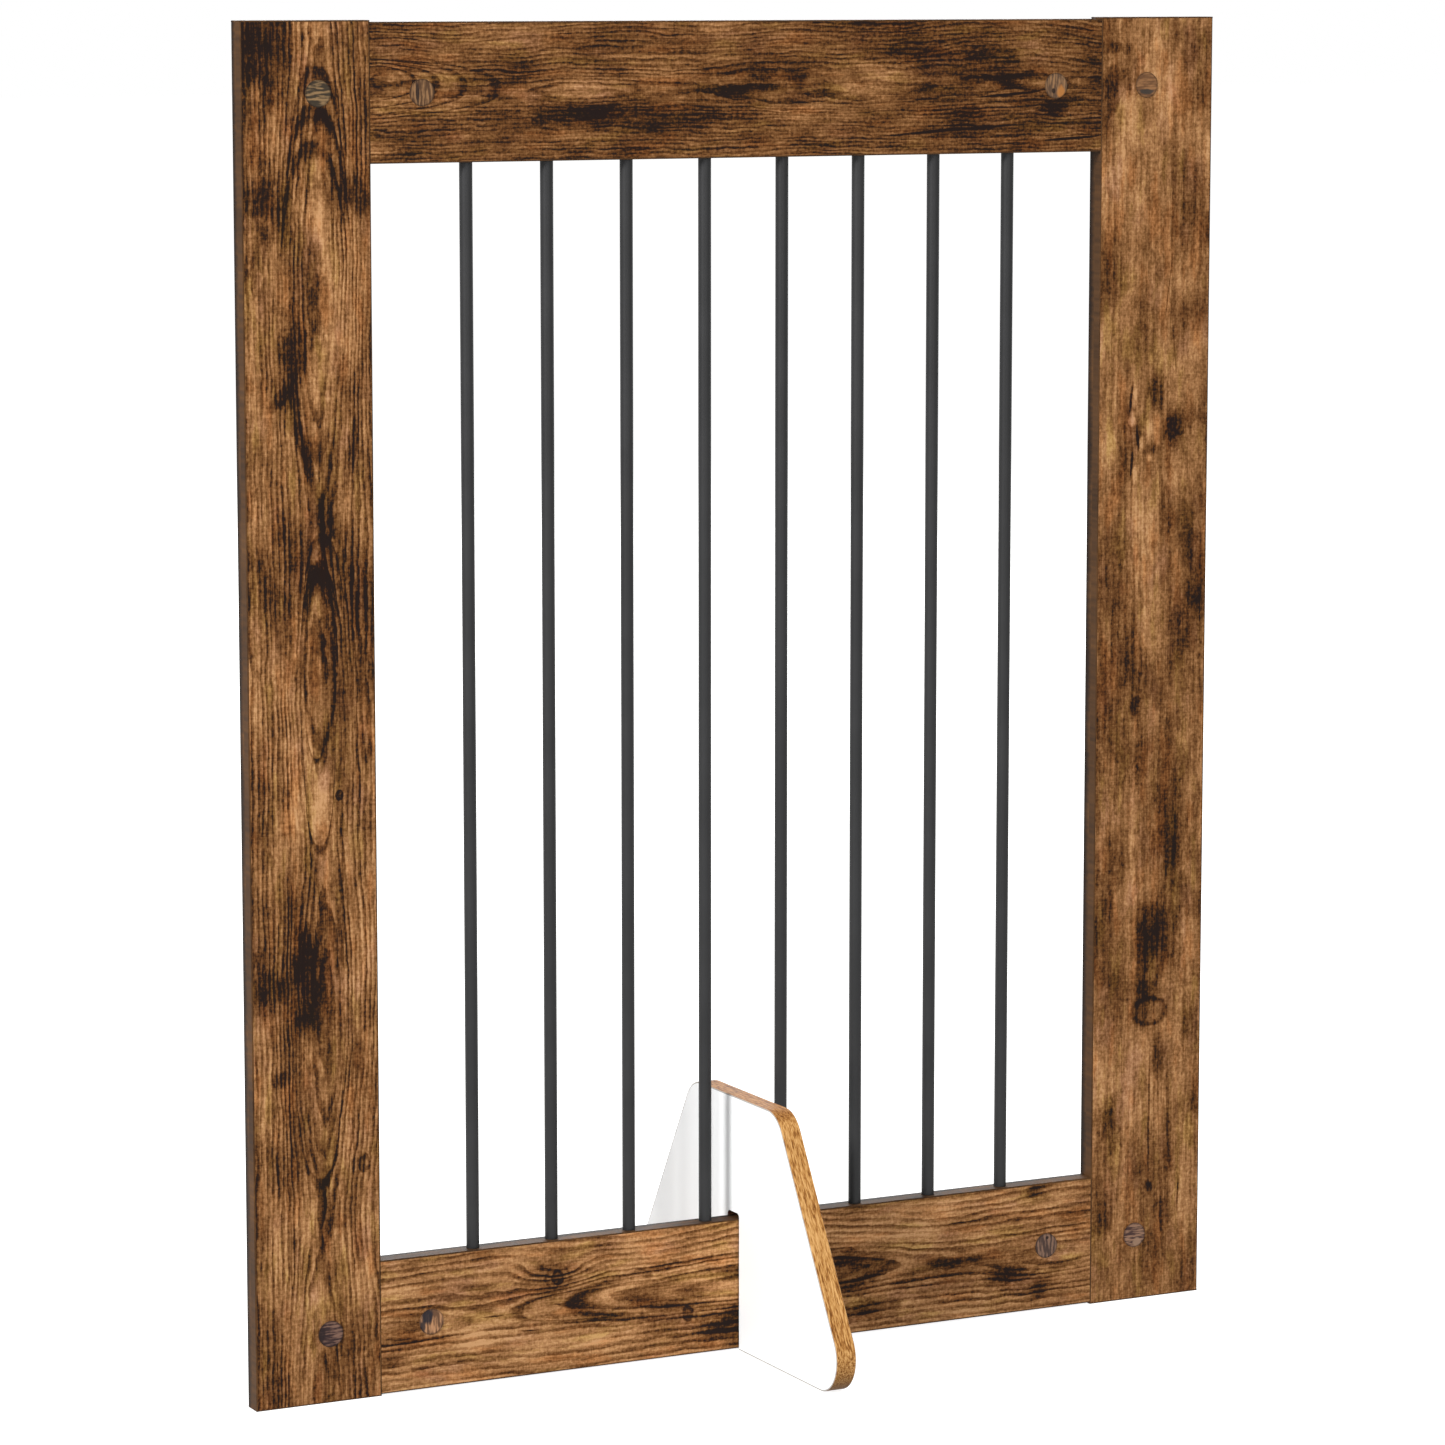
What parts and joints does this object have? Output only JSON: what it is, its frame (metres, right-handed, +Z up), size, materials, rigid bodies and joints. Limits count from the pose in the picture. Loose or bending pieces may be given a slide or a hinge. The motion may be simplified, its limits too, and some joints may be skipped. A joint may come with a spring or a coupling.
{
  "type": "safety baby gate",
  "caption": "Free-standing slatted barrier panel for a child or pet: wood-decor frame, round black bars and a slotted foot that straddles the bottom rail.",
  "frame": {"origin": "on the floor, in the middle of the panel's width and of the foot's depth", "axes": "+X along the panel to the right as seen from the front, -Y towards the front, where the cover caps are, +Z up"},
  "size_m": [0.6, 0.2496, 0.75],
  "materials": {
    "decor_board": "rustic brown wood-decor laminate, satin",
    "dark_edging": "dark brown edge banding",
    "black_bar": "satin black powder coat",
    "white_board": "smooth white melamine on chipboard",
    "oak_edging": "light oak-look edge banding",
    "cover_print": "wood-print cover sticker",
    "cam_metal": "die-cast zinc alloy",
    "plated_steel": "zinc-plated steel",
    "dowel_wood": "raw beech"
  },
  "bodies": {
    "panel": {"left_stile": "decor_board", "right_stile": "decor_board", "top_rail": "decor_board", "bottom_rail": "decor_board", "left_stile_outer_band": "dark_edging", "left_stile_inner_band": "dark_edging", "left_stile_top_band": "dark_edging", "left_stile_bottom_band": "dark_edging", "right_stile_outer_band": "dark_edging", "right_stile_inner_band": "dark_edging", "right_stile_top_band": "dark_edging", "right_stile_bottom_band": "dark_edging", "top_rail_top_band": "dark_edging", "top_rail_bottom_band": "dark_edging", "bottom_rail_top_band": "dark_edging", "bottom_rail_bottom_band": "dark_edging", "bar_1": "black_bar", "bar_2": "black_bar", "bar_3": "black_bar", "bar_4": "black_bar", "bar_5": "black_bar", "bar_6": "black_bar", "bar_7": "black_bar", "bar_8": "black_bar", "cam_bolt_bottom_left": "plated_steel", "dowel_bottom_left_lower": "dowel_wood", "dowel_bottom_left_upper": "dowel_wood", "cover_cap_bottom_left_stile": "cover_print", "cover_cap_bottom_left_rail": "cover_print", "cam_bolt_bottom_right": "plated_steel", "dowel_bottom_right_lower": "dowel_wood", "dowel_bottom_right_upper": "dowel_wood", "cover_cap_bottom_right_stile": "cover_print", "cover_cap_bottom_right_rail": "cover_print", "cam_bolt_top_left": "plated_steel", "dowel_top_left_lower": "dowel_wood", "dowel_top_left_upper": "dowel_wood", "cover_cap_top_left_stile": "cover_print", "cover_cap_top_left_rail": "cover_print", "cam_bolt_top_right": "plated_steel", "dowel_top_right_lower": "dowel_wood", "dowel_top_right_upper": "dowel_wood", "cover_cap_top_right_stile": "cover_print", "cover_cap_top_right_rail": "cover_print"},
    "cam_bottom_left_stile": {"cam_bottom_left_stile": "cam_metal"},
    "cam_bottom_left_rail": {"cam_bottom_left_rail": "cam_metal"},
    "cam_bottom_right_stile": {"cam_bottom_right_stile": "cam_metal"},
    "cam_bottom_right_rail": {"cam_bottom_right_rail": "cam_metal"},
    "cam_top_left_stile": {"cam_top_left_stile": "cam_metal"},
    "cam_top_left_rail": {"cam_top_left_rail": "cam_metal"},
    "cam_top_right_stile": {"cam_top_right_stile": "cam_metal"},
    "cam_top_right_rail": {"cam_top_right_rail": "cam_metal"},
    "foot": {"foot_board": "white_board", "foot_edge_band": "oak_edging"}
  },
  "joints": [
    {"name": "foot_lift", "type": "slide", "parent": "panel", "child": "foot", "axis": [0, 0, 1], "range_m": [0, 0.085]},
    {"name": "cam_bottom_left_stile_turn", "type": "hinge", "parent": "panel", "child": "cam_bottom_left_stile", "pos_m": [-0.256, 0, 0.0385], "axis": [0, -1, 0], "range_deg": [0, 180]},
    {"name": "cam_bottom_left_rail_turn", "type": "hinge", "parent": "panel", "child": "cam_bottom_left_rail", "pos_m": [-0.196, 0, 0.0385], "axis": [0, -1, 0], "range_deg": [0, 180]},
    {"name": "cam_bottom_right_stile_turn", "type": "hinge", "parent": "panel", "child": "cam_bottom_right_stile", "pos_m": [0.256, 0, 0.0385], "axis": [0, -1, 0], "range_deg": [0, 180]},
    {"name": "cam_bottom_right_rail_turn", "type": "hinge", "parent": "panel", "child": "cam_bottom_right_rail", "pos_m": [0.196, 0, 0.0385], "axis": [0, -1, 0], "range_deg": [0, 180]},
    {"name": "cam_top_left_stile_turn", "type": "hinge", "parent": "panel", "child": "cam_top_left_stile", "pos_m": [-0.256, 0, 0.7115], "axis": [0, -1, 0], "range_deg": [0, 180]},
    {"name": "cam_top_left_rail_turn", "type": "hinge", "parent": "panel", "child": "cam_top_left_rail", "pos_m": [-0.196, 0, 0.7115], "axis": [0, -1, 0], "range_deg": [0, 180]},
    {"name": "cam_top_right_stile_turn", "type": "hinge", "parent": "panel", "child": "cam_top_right_stile", "pos_m": [0.256, 0, 0.7115], "axis": [0, -1, 0], "range_deg": [0, 180]},
    {"name": "cam_top_right_rail_turn", "type": "hinge", "parent": "panel", "child": "cam_top_right_rail", "pos_m": [0.196, 0, 0.7115], "axis": [0, -1, 0], "range_deg": [0, 180]}
  ]
}
